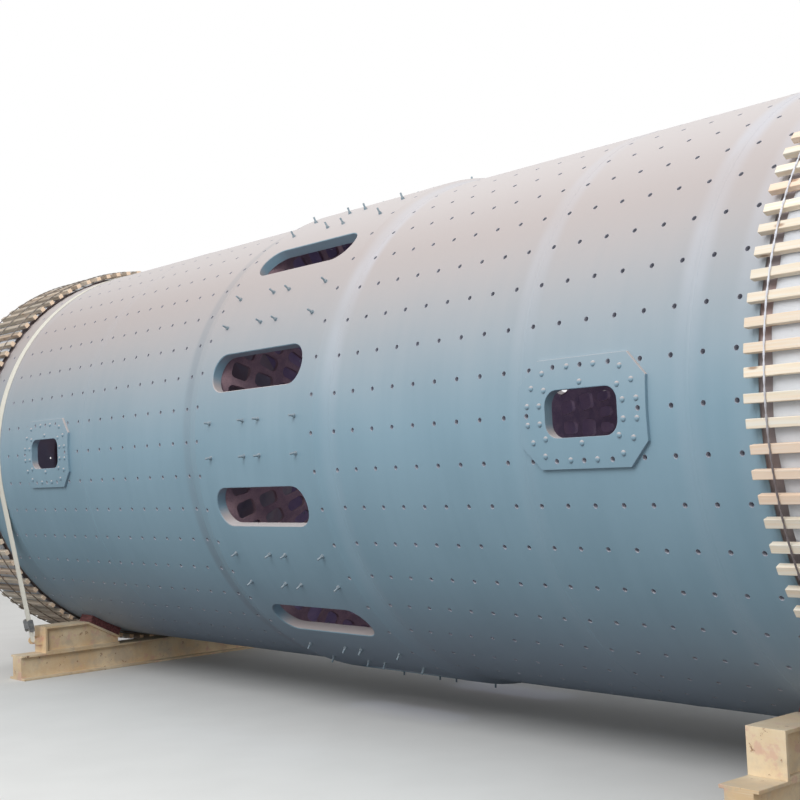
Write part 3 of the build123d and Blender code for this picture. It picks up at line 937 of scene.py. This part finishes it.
diaphragm = {
    "opening": 0.600,
    # radius of a row of windows, how many there are, and half the width of one
    "rows": [(2.100, 60, 0.075), (1.830, 60, 0.065), (1.550, 60, 0.052), (1.270, 30, 0.085),
             (0.990, 30, 0.065)],
    "halfLength": 0.100,     # of a window along the radius
    "corner": 0.045,
    "edgePoints": 240,
    "bevel": 0.003,
}


def polar(radius, turn):
    # the flat point (r cos, r sin)
    radius, turn = np.broadcast_arrays(radius, turn)
    return np.stack([radius * np.cos(turn), radius * np.sin(turn)], -1)


def roundCut(radius, arcSteps, bevel, centres):
    return {"half": (radius,) * 2, "corner": radius, "arcSteps": arcSteps, "spacing": 0.1,
            "bevel": bevel, "clear": 0.02, "centres": centres}


def discEdge(rim, bevel):
    # the turns of a disc's edge points, and its edge before and after the bevel
    turn = np.arange(diaphragm["edgePoints"]) / diaphragm["edgePoints"] * 2 * math.pi
    return turn, {"centre": (0, 0), "inset": polar(rim - bevel, turn), "true": polar(rim, turn)}


def discLevels(pattern, high, low, bevel):
    # the pattern as a disc across the drum: its own axes are +Y and up, and its top faces +X
    levels = []
    for share, x in ((0, high), (1, high - bevel), (1, low + bevel), (0, low)):
        flat = pattern["anchor"] + pattern["offset"] + share * pattern["step"]
        levels.append(np.stack([np.full(len(flat), x), flat[:, 0], flat[:, 1] + drum["axis"]], 1))
    return levels


def makeDiaphragm(side):
    # a disc with a round middle opening and rows of rounded windows, each turned to its own radius
    node = f"diaphragm_{side}"
    low, high = extent(node)
    turn, border = discEdge((high[1] - low[1]) / 2, diaphragm["bevel"])
    cuts = [roundCut(diaphragm["opening"], 18, diaphragm["bevel"], [(0, 0)])]
    for radius, count, half in diaphragm["rows"]:
        spin = np.arange(count) * 2 * math.pi / count
        cuts.append({"half": (diaphragm["halfLength"], half), "corner": diaphragm["corner"], "arcSteps": 4,
                     "spacing": 0.12, "bevel": diaphragm["bevel"], "clear": 0.01, "spin": spin,
                     "centres": polar(radius, spin)})
    between = [(first[0] + second[0]) / 2 for first, second in zip(diaphragm["rows"], diaphragm["rows"][1:])]
    lattice = polar(np.array(between)[:, None], turn[None, ::2]).reshape(-1, 2)
    pattern = flatPattern(lattice, cuts, border)
    levels = discLevels(pattern, high[0], low[0], diaphragm["bevel"])
    points, faces, _ = plated(levels, patternFaces(pattern))
    makePiece(f"grate_{side}", points, faces, ["ironRust"], "diaphragm_iron", [node])


for side in sides:
    makeDiaphragm(side)
print("diaphragms are made")

# Slip rings and end heads

slip = {
    "length": 1.000,
    "neck": 0.180,
    "neckStep": 0.020,
    "depth": 0.060,          # inside the shell's bore
    "chamfer": 0.004,
    "steps": 276,
}
head = {
    "opening": 0.850,
    "bolts": 12,
    "boltCircle": 0.970,
    "boltRadius": 0.016,
    "collar": 0.030,
    "collarLength": 0.120,
    "thickness": 0.040,
    "bevel": 0.003,
    "rings": (1.1, 1.35, 1.6, 1.85, 2.06),      # radii of the mesh's rings
}


def makeSlipRing(side, way):
    # a neck that steps up to the running face, as one profile turned about the drum's axis
    low, high = extent(f"slip_ring_{side}")
    end = max(abs(low[0]), abs(high[0]))
    face = (high[1] - low[1]) / 2
    start = end - slip["length"]
    neckRadius = drum["radius"] - slip["neckStep"]
    bore = drum["bore"] - slip["depth"]
    neck = start - slip["neck"]
    profile = [(neck, drum["bore"]), (neck, drum["radius"]), (neck + slip["neckStep"], neckRadius),
               (start, neckRadius), (start, face), (end, face), (end, bore), (start, bore),
               (start - slip["depth"], drum["bore"])]
    profile = chamfered(profile, slip["chamfer"])
    if way < 0:
        profile = (profile * (-1, 1))[::-1]
    makePiece(f"running_ring_{side}", *revolved(profile, slip["steps"]), ["ringSteel"], "ring_steel",
              [f"slip_ring_{side}"])


def makeEndHead(side, way):
    # a disc with its opening and bolt circle, and a turned collar behind the opening
    low, high = extent(f"end_head_{side}")
    outerFace = high[0] if way > 0 else low[0]
    plate = sorted((outerFace, outerFace - way * head["thickness"]))
    turn, border = discEdge((high[1] - low[1]) / 2, head["bevel"])
    boltTurns = np.arange(head["bolts"]) * 2 * math.pi / head["bolts"]
    cuts = [roundCut(head["opening"], 30, head["bevel"], [(0, 0)]),
            roundCut(head["boltRadius"], 4, head["bevel"], polar(head["boltCircle"], boltTurns))]
    lattice = polar(np.array(head["rings"])[:, None], turn[None, ::2]).reshape(-1, 2)
    pattern = flatPattern(lattice, cuts, border)
    disc = plated(discLevels(pattern, plate[1], plate[0], head["bevel"]), patternFaces(pattern))[:2]
    inner = outerFace - way * head["thickness"]
    collar = sorted((inner + way * 0.002, inner - way * head["collarLength"]))
    outline = [(collar[0], head["opening"]), (collar[0], head["opening"] + head["collar"]),
               (collar[1], head["opening"] + head["collar"]), (collar[1], head["opening"])]
    makePiece(f"head_{side}", *joined([disc, revolved(chamfered(outline, head["bevel"]), slip["steps"])]),
              ["ringSteel"], "ring_steel", [f"end_head_{side}"])


for side, way in sides.items():
    makeSlipRing(side, way)
    makeEndHead(side, way)
print("slip rings and end heads are made")

# White woven wrapping round each running face

wrap = {
    "base": 0.0015,
    "depth": 0.0080,
    "thickness": 0.010,
    "overhang": 0.055,       # of the inner edge past the ring's shoulder
    "drop": 0.022,           # of that edge, drawn in towards the neck
    "aroundCuts": 720,
    "alongCuts": 30,
    "bandWidth": 0.34,
    "bandLap": 0.0018,
    # waves round the drum, their slant along it, and their share
    "foldWaves": [(7, 3, 1.0), (19, -5, 0.8), (37, 9, 0.7), (61, -14, 0.55), (97, 22, 0.4), (11, 30, 0.6)],
    "scallops": 23,          # of the drawn-in edge
}


def makeWrap(side, seed):
    # radius = face + base + folds - sag: the folds are a sum of slanting sine waves, with a step where the
    # bands lap, and the sag grows past the ring's shoulder
    rng = np.random.default_rng(seed)
    node = f"wrap_{side}"
    low, high = extent(node)
    outer = (high[1] - low[1]) / 2
    face = outer - wrap["thickness"]
    inwards = -sides[side]
    shoulder = low[0] if inwards < 0 else high[0]
    free = shoulder + inwards * wrap["overhang"]
    x = np.linspace(min(low[0], free), max(high[0], free), wrap["alongCuts"] + 1)
    turn = np.arange(wrap["aroundCuts"]) / wrap["aroundCuts"] * 2 * math.pi
    along, around = np.meshgrid(x, turn)
    folds = np.zeros_like(along)
    for count, slant, weight in wrap["foldWaves"]:
        folds += weight * np.sin(count * around + slant * along + rng.uniform(0, 2 * math.pi))
    folds = (folds - folds.min()) / np.ptp(folds)
    lap = ((along - low[0]) / wrap["bandWidth"] + around / (2 * math.pi)) % 1.0
    past = np.clip((along - shoulder) * inwards / wrap["overhang"], 0, 1)
    sag = wrap["drop"] * past ** 1.5 * (0.6 + 0.4 * np.sin(wrap["scallops"] * around))
    radius = face + wrap["base"] + wrap["bandLap"] * (1 - lap)
    radius = np.minimum(radius + (wrap["depth"] - wrap["bandLap"]) * folds ** 1.5, outer) - sag
    under = np.where(past > 0, radius - wrap["base"], face)
    section = np.concatenate([radius, under[:, ::-1]], axis=1)
    places = np.concatenate([along, along[:, ::-1]], axis=1)
    points = onDrum(places, turn[:, None], section)
    quads = gridFaces(len(turn), places.shape[1], loop=True)
    weave = np.stack([places, np.broadcast_to(turn[:, None] * outer, places.shape), section], -1)
    piece = makePiece(f"wrapping_{side}", points.reshape(-1, 3), [quads], ["wrapFilm"], "wrap_film", [node],
                      fields={"weave": weave.reshape(-1, 3)}, crease=60)


for seed, side in enumerate(sides):
    makeWrap(side, 21 + seed)
print("wrappings are made")

# Timber slats and the wires that lash them

slat = {
    "count": 100,
    "width": 0.060,
    "thickness": 0.050,
    "edge": 0.003,
    "endPlay": 0.010,        # most that an end lies off the line
    "sidePlay": 0.004,
    "yaw": 0.005,            # most sideways lean from end to end
    "bow": 0.003,
    "paintedShade": {"left": (0.45, 0.95), "right": (0.0, 0.25)},     # how much painted shade greys the long faces of each end's slats
}


def slatTurns():
    # the slats' places round the drum, evenly spaced
    return np.arange(slat["count"]) * 2 * math.pi / slat["count"]


def makeSlats(side, seed, paintedShade):
    # each slat is a chamfered bar: eight corners at seven stations, bowed and leaning a little
    rng = np.random.default_rng(seed)
    node = f"lagging_{side}"
    low, high = extent(node)
    outer = (high[1] - low[1]) / 2
    count = slat["count"]
    start = low[0] + rng.uniform(-1, 1, count) * slat["endPlay"]
    end = high[0] + rng.uniform(-1, 1, count) * slat["endPlay"]
    aside, lean, bow = (rng.uniform(-1, 1, count) * slat[play] for play in ("sidePlay", "yaw", "bow"))
    wide = slat["width"] * rng.uniform(0.96, 1.03, count)
    thick = slat["thickness"] * rng.uniform(0.95, 1.0, count)
    tone = rng.uniform(0, 1, count)
    grey = rng.uniform(*paintedShade, count)
    offset = rng.uniform(0, 40, (count, 3))
    length = (end - start)[:, None]
    edge = slat["edge"]
    stations = np.stack([0 * length, 0 * length + edge, 0.25 * length, 0.5 * length, 0.75 * length,
                         length - edge, length], 1)[:, :, 0]
    shrink = np.array([edge, 0, 0, 0, 0, 0, edge])
    share = stations / length
    middle = aside[:, None] + lean[:, None] * (share - 0.5) + bow[:, None] * np.sin(np.pi * share)
    halfWide = wide[:, None, None] / 2 - shrink[None, :, None]
    halfThick = thick[:, None, None] / 2 - shrink[None, :, None]
    # corners of the section: side, height, and whether the side is the one drawn in by the chamfer
    signs = np.array([(1, -1, 0), (1, 1, 0), (1, 1, 1), (-1, 1, 1),
                      (-1, 1, 0), (-1, -1, 0), (-1, -1, 1), (1, -1, 1)])
    across = signs[:, 0] * (halfWide - edge * signs[:, 2])
    outward = signs[:, 1] * (halfThick - edge * (1 - signs[:, 2]))
    around = middle[:, :, None] + across
    radius = outer - slat["thickness"] + thick[:, None, None] / 2 + outward
    turn = slatTurns()[:, None, None]
    x = np.broadcast_to((start[:, None] + stations)[:, :, None], radius.shape)
    points = onDrum(x, turn, radius)
    points[..., 1] += around * np.sin(turn)
    points[..., 2] += around * np.cos(turn)
    grain = np.stack([np.broadcast_to(stations[:, :, None], radius.shape), across, outward], -1)
    grain += offset[:, None, None]
    corners, places = len(signs), stations.shape[1]
    corner = np.arange(corners)
    quads = gridFaces(places, corners)
    caps = np.stack([corner[::-1], corner + (places - 1) * corners])
    each = places * corners
    shift = np.arange(count)[:, None, None] * each
    faces = [(quads[None] + shift).reshape(-1, 4), (caps[None] + shift).reshape(-1, corners)]
    fields = {"grain": grain.reshape(-1, 3), "tone": np.repeat(tone, each), "paintedShade": np.repeat(grey, each)}
    makePiece(f"slats_{side}", points.reshape(-1, 3), faces, ["slatTimber"], "slat_timber", [node],
              fields=fields, crease=30)


wire = {"thickness": 0.0080, "offset": 0.0030, "twist": 0.150, "pointsPerTwist": 8, "sides": 6,
        "paintedShade": {"left": 0.85, "right": 0.0}}     # how much painted shade browns the wires of each end


def makeWires(side, paintedShade):
    # two strands wound round one another, over the slats' outer faces and straight from slat to slat
    node = f"lashing_{side}"
    low, high = extent(node)
    slatLow, slatHigh = extent(f"lagging_{side}")
    half = wire["offset"] + wire["thickness"] / 2
    centreRadius = (slatHigh[1] - slatLow[1]) / 2 + half + 0.0003
    turns = np.repeat(slatTurns(), 2)
    reach = np.tile([-1, 1], slat["count"]) * (slat["width"] / 2 - 0.002)
    knotY = -centreRadius * np.cos(turns) + reach * np.sin(turns)
    knotZ = centreRadius * np.sin(turns) + reach * np.cos(turns)
    knotY, knotZ = np.append(knotY, knotY[0]), np.append(knotZ, knotZ[0])
    run = np.concatenate([[0], np.cumsum(np.hypot(np.diff(knotY), np.diff(knotZ)))])
    twists = round(run[-1] / wire["twist"])
    along = np.arange(twists * wire["pointsPerTwist"]) / (twists * wire["pointsPerTwist"]) * run[-1]
    y, z = np.interp(along, run, knotY), np.interp(along, run, knotZ)
    outY, outZ = y / np.hypot(y, z), z / np.hypot(y, z)
    wind = along / run[-1] * twists * 2 * math.pi
    around = np.arange(wire["sides"]) / wire["sides"] * 2 * math.pi
    parts = []
    for place in (low[0] + half, (low[0] + high[0]) / 2, high[0] - half):
        for strand in (0, math.pi):
            shiftX = wire["offset"] * np.cos(wind + strand)[:, None] + wire["thickness"] / 2 * np.sin(around)
            shiftR = wire["offset"] * np.sin(wind + strand)[:, None] + wire["thickness"] / 2 * np.cos(around)
            points = np.stack([place + shiftX, y[:, None] + outY[:, None] * shiftR,
                               drum["axis"] + z[:, None] + outZ[:, None] * shiftR], -1)
            parts.append((points.reshape(-1, 3), [gridFaces(len(along), wire["sides"], loop=True)]))
    points, faces = joined(parts)
    makePiece(f"wires_{side}", points, faces, ["lashingWire"], "lashing_wire", [node],
              fields={"paintedShade": np.full(len(points), paintedShade)}, crease=75)


for seed, side in enumerate(sides):
    makeSlats(side, 31 + seed, slat["paintedShade"][side])
    makeWires(side, wire["paintedShade"][side])
print("slats and wires are made")

# Webbing strap over the left end

strap = {"thickness": 0.005, "pinRadius": 0.0203, "lugRadius": 0.045, "edge": 0.002,
         "step": 0.040, "pinSteps": 8, "runSteps": 48}


def strapPath():
    # middle line in the cross-section: under the near pin, straight up to the drum, over it and down again
    low, high = extent("webbing_strap")
    pinTurn = strap["pinRadius"] + strap["thickness"] / 2
    over = (high[1] - low[1]) / 2 - strap["thickness"] / 2
    pinY = extent("cradle_left_bracket_near")[0][1] + strap["lugRadius"]
    pinZ = low[2] + strap["pinRadius"] + strap["thickness"] - drum["axis"]
    lean = math.asin((over - pinTurn) / math.hypot(pinY, pinZ))
    leave = math.atan2(-pinZ, -pinY) + math.pi / 2 + lean    # turn at which it leaves the pin for the drum
    bottom = np.linspace(1.5 * math.pi, leave, strap["pinSteps"])
    sweep = np.linspace(leave, math.pi / 2, math.ceil(over * (leave - math.pi / 2) / strap["step"]))
    pinArc = (pinY, pinZ) + pinTurn * np.stack([np.cos(bottom), np.sin(bottom)], 1)
    drumArc = over * np.stack([np.cos(sweep), np.sin(sweep)], 1)
    share = np.linspace(0, 1, strap["runSteps"] + 2)[1:-1, None]
    nearPath = np.concatenate([pinArc, pinArc[-1] + (drumArc[0] - pinArc[-1]) * share, drumArc])
    turn = np.concatenate([bottom, np.full(strap["runSteps"], leave), sweep])
    nearNormals = np.stack([np.cos(turn), np.sin(turn)], 1)
    mirrored = [np.concatenate([part, (part * (-1, 1))[-2::-1]]) for part in (nearPath, nearNormals)]
    return *mirrored, low[0], high[0]


def makeStrap():
    # a flat band: ten corners carried along the path, rounded at both edges
    path, normals, start, end = strapPath()
    middle, wide, half = (start + end) / 2, (end - start) / 2, strap["thickness"] / 2
    flatEnd = wide - strap["edge"]
    corners = np.array([(-wide, -half * 0.4), (-wide, half * 0.4), (-flatEnd, half), (-wide * 0.4, half),
                        (wide * 0.4, half), (flatEnd, half), (wide, half * 0.4), (wide, -half * 0.4),
                        (flatEnd, -half), (-flatEnd, -half)])
    run = np.concatenate([[0], np.cumsum(np.linalg.norm(np.diff(path, axis=0), axis=1))])
    x = np.broadcast_to(middle + corners[None, :, 0], (len(path), len(corners)))
    flat = path[:, None] + normals[:, None] * corners[None, :, 1:]
    points = np.stack([x, flat[..., 0], flat[..., 1] + drum["axis"]], -1).reshape(-1, 3)
    corner = np.arange(len(corners))
    quads = gridFaces(len(path), len(corners))
    caps = np.stack([corner[::-1], corner + (len(path) - 1) * len(corners)])
    weave = np.stack([np.broadcast_to(corners[None, :, 0], x.shape), np.broadcast_to(run[:, None], x.shape),
                      0 * x], -1).reshape(-1, 3)
    makePiece("strap_band", points, [quads, caps], ["strapWebbing"], "strap_webbing", ["webbing_strap"],
              fields={"weave": weave}, crease=60)


makeStrap()
print("strap is made")

# Cradles and buckle keep their CAD solids, with broken edges and their own finishes

cradleEdge = {"base": 0.004, "bracket": 0.003, "pad": 0.006, "buckle": 0.0012}


def dressNode(node, look, edge):
    # a CAD solid with a finish, its loose triangles welded and its sharp edges broken
    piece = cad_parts[node]
    piece.data.materials.clear()
    piece.data.materials.append(finishes[look])
    weld = piece.modifiers.new("weld", "WELD")
    weld.merge_threshold = 0.00002
    bevel = piece.modifiers.new("edges", "BEVEL")
    bevel.width, bevel.segments = edge, 2
    bevel.limit_method, bevel.angle_limit = "ANGLE", math.radians(35)
    bevel.harden_normals = False
    return piece


dressNode("strap_ratchet", "buckleSteel", cradleEdge["buckle"])
for side in sides:
    dressNode(f"cradle_{side}_base", "cradlePaint", cradleEdge["base"])
    for place in ("near", "far"):
        bracket = dressNode(f"cradle_{side}_bracket_{place}", "cradlePaint", cradleEdge["bracket"])
        dressNode(f"cradle_{side}_pad_{place}", "padTimber", cradleEdge["pad"])
print("cradles and buckle are dressed")

# Floor and light

studio = {
    "sky": 0.76,
    "ground": 0.08,
    "keyPlace": (5.0, -15.0, 13.7),
    "keySize": 9.0,
    "keyPower": 1760.0,
    "glowTint": (0.58, 0.70, 1.0),
    # lamps inside the drum: place from the ring's middle, and power
    "glows": {"left": (-4.4, 38.0), "middle": (0.0, 15.0), "right": (3.0, 34.0)},
    "floorPale": seen(226, 226, 224),
    "floorPatch": seen(214, 214, 212),
    "floorBounce": seen(140, 141, 143),
    "floorSize": 120.0,
    "fadeFrom": 16.0,
    "fadeTo": 34.0,
}


def makeFloor():
    # a pale square that fades to white far from the drum
    half = studio["floorSize"] / 2
    mesh = bpy.data.meshes.new("floor")
    corners = [(-half, -half, 0), (half, -half, 0), (half, half, 0), (-half, half, 0)]
    mesh.from_pydata(corners, [], [(0, 1, 2, 3)])
    floor = bpy.data.objects.new("floor", mesh)
    bpy.context.scene.collection.objects.link(floor)
    material = bpy.data.materials.new("floor")
    material.use_nodes = True
    shader = Shader(material.node_tree)
    camera = shader.node("ShaderNodeLightPath", {}, {}, 0)
    grain = shader.noise(shader.place(), (1.5, 1.5, 1.5), 6.0)
    pale = shader.mix(grain.between(0.3, 0.7) * 0.25, studio["floorPale"], studio["floorPatch"])
    surface = shader.node("ShaderNodeBsdfDiffuse", {},
                          {"Color": shader.mix(camera, studio["floorBounce"], pale)})
    white = shader.node("ShaderNodeEmission", {}, {"Color": (1, 1, 1, 1), "Strength": 1.0})
    away = shader.node("ShaderNodeVectorMath", {"operation": "LENGTH"}, {0: shader.place()}, 1)
    fade = away.between(studio["fadeFrom"], studio["fadeTo"]) * camera
    mixed = shader.node("ShaderNodeMixShader", {}, {0: fade, 1: surface, 2: white})
    shader.node("ShaderNodeOutputMaterial", {}, {"Surface": mixed})
    mesh.materials.append(material)


def makeLight():
    # a sky that is dim below the horizon and white to the camera, and one soft lamp aimed at the drum
    world = bpy.data.worlds.new("sky")
    bpy.context.scene.world = world
    world.use_nodes = True
    shader = Shader(world.node_tree)
    rise = shader.node("ShaderNodeTexCoord", {}, {}, 0).part(2)
    strength = studio["ground"] + rise.between(-0.1, 0.05) * (studio["sky"] - studio["ground"])
    sky = shader.node("ShaderNodeBackground", {}, {"Color": (1.0, 1.0, 1.0, 1), "Strength": strength})
    plain = shader.node("ShaderNodeBackground", {}, {"Color": (1, 1, 1, 1), "Strength": 1.0})
    direct = shader.node("ShaderNodeLightPath", {}, {}, "Is Camera Ray")
    for ray in ("Glossy", "Transmission"):
        other = shader.node("ShaderNodeLightPath", {}, {}, f"Is {ray} Ray")
        direct = shader.node("ShaderNodeMath", {"operation": "MAXIMUM"}, {0: direct, 1: other})
    mixed = shader.node("ShaderNodeMixShader", {}, {0: direct, 1: sky, 2: plain})
    shader.node("ShaderNodeOutputWorld", {}, {"Surface": mixed})
    lamp = bpy.data.lights.new("key", "AREA")
    lamp.shape, lamp.size = "SQUARE", studio["keySize"]
    lamp.energy = studio["keyPower"]
    key = bpy.data.objects.new("key", lamp)
    key.location = studio["keyPlace"]
    key.rotation_mode = "QUATERNION"
    aim = Vector((0, 0, drum["axis"])) - key.location
    key.rotation_quaternion = aim.to_track_quat("-Z", "Y")
    bpy.context.scene.collection.objects.link(key)


def makeGlow(name, along, power):
    # a faint lamp inside the drum, as the photograph's openings are never quite black
    lamp = bpy.data.lights.new(f"glow_{name}", "POINT")
    lamp.energy, lamp.color = power, studio["glowTint"]
    lamp.shadow_soft_size = 0.4
    glow = bpy.data.objects.new(f"glow_{name}", lamp)
    glow.location = (ringMiddle + along, 0.0, drum["axis"])
    glow.visible_camera = glow.visible_glossy = False
    bpy.context.scene.collection.objects.link(glow)


makeFloor()
makeLight()
for name, (along, power) in studio["glows"].items():
    makeGlow(name, along, power)
bpy.context.scene.view_settings.view_transform = "Standard"
print("floor and light are set")
